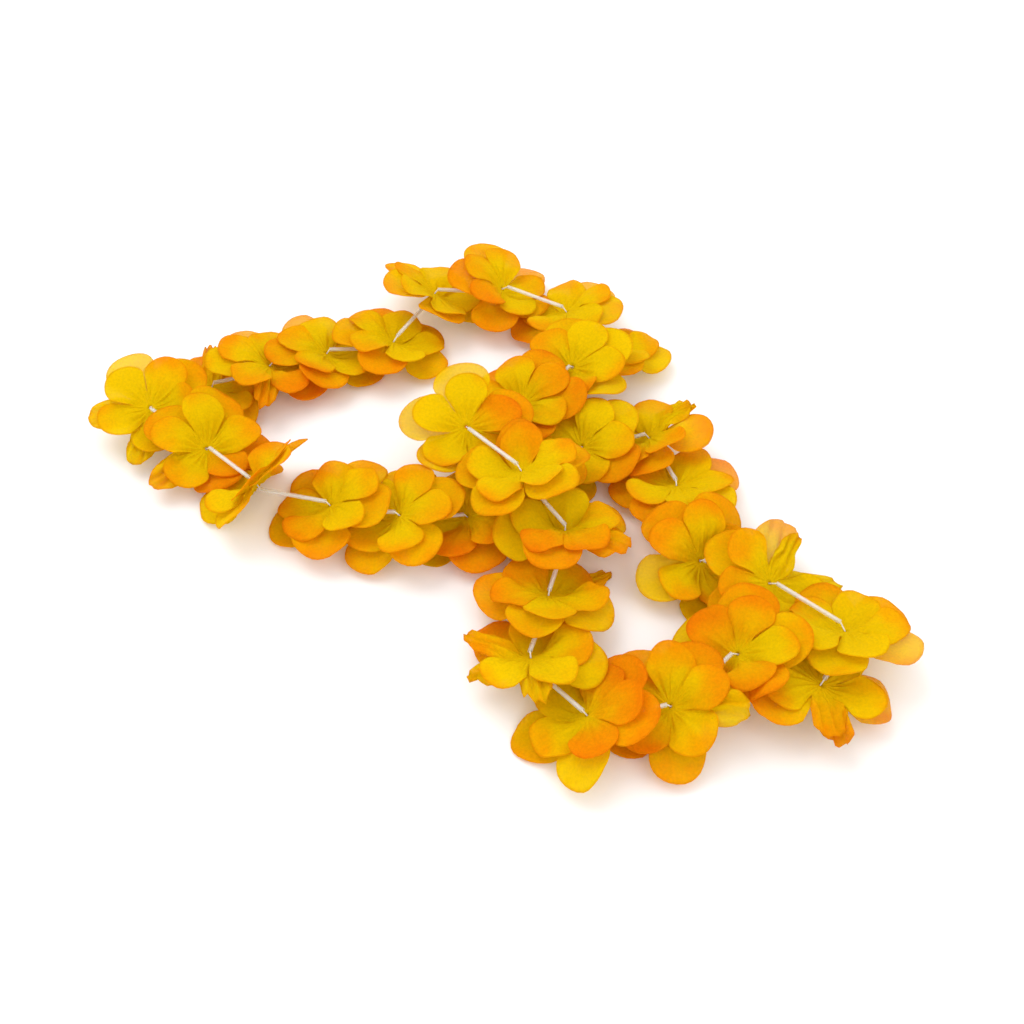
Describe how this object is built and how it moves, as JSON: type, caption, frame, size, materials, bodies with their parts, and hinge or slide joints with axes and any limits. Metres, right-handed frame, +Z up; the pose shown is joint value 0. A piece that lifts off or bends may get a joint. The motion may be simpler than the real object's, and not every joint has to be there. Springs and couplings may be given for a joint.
{
  "type": "artificial flower lei",
  "caption": "Loop of layered cloth blossoms spaced by clear plastic straws on a thin thread, lying as a twisted figure of eight.",
  "frame": {"origin": "centre of the plan box, on the surface that the lei lies on", "axes": "+Z up from that surface; +X to the right and -Y towards the viewer of the picture"},
  "size_m": [0.3345, 0.2914, 0.0366],
  "materials": {
    "petal_cloth": "thin plain-woven polyester, warm yellow with airbrushed orange blotches and tips, matte, slightly translucent",
    "straw_plastic": "thin-walled translucent milky plastic tube, satin gloss",
    "thread_white": "twisted white sewing thread"
  },
  "bodies": {
    "root": {"bloom_01": "petal_cloth", "bloom_02": "petal_cloth", "bloom_03": "petal_cloth", "bloom_04": "petal_cloth", "bloom_05": "petal_cloth", "bloom_06": "petal_cloth", "bloom_07": "petal_cloth", "bloom_08": "petal_cloth", "bloom_09": "petal_cloth", "bloom_10": "petal_cloth", "bloom_11": "petal_cloth", "bloom_12": "petal_cloth", "bloom_13": "petal_cloth", "bloom_14": "petal_cloth", "bloom_15": "petal_cloth", "bloom_16": "petal_cloth", "bloom_17": "petal_cloth", "bloom_18": "petal_cloth", "bloom_19": "petal_cloth", "bloom_20": "petal_cloth", "bloom_21": "petal_cloth", "bloom_22": "petal_cloth", "bloom_23": "petal_cloth", "bloom_24": "petal_cloth", "bloom_25": "petal_cloth", "bloom_26": "petal_cloth", "bloom_27": "petal_cloth", "bloom_28": "petal_cloth", "bloom_29": "petal_cloth", "bloom_30": "petal_cloth", "bloom_31": "petal_cloth", "bloom_32": "petal_cloth", "straw_01": "straw_plastic", "straw_02": "straw_plastic", "straw_03": "straw_plastic", "straw_04": "straw_plastic", "straw_05": "straw_plastic", "straw_06": "straw_plastic", "straw_07": "straw_plastic", "straw_09": "straw_plastic", "straw_10": "straw_plastic", "straw_11": "straw_plastic", "straw_12": "straw_plastic", "straw_14": "straw_plastic", "straw_17": "straw_plastic", "straw_18": "straw_plastic", "straw_19": "straw_plastic", "straw_20": "straw_plastic", "straw_21": "straw_plastic", "straw_22": "straw_plastic", "straw_23": "straw_plastic", "straw_24": "straw_plastic", "straw_25": "straw_plastic", "straw_26": "straw_plastic", "straw_27": "straw_plastic", "straw_28": "straw_plastic", "straw_29": "straw_plastic", "straw_30": "straw_plastic", "straw_31": "straw_plastic", "thread": "thread_white"}
  },
  "joints": []
}
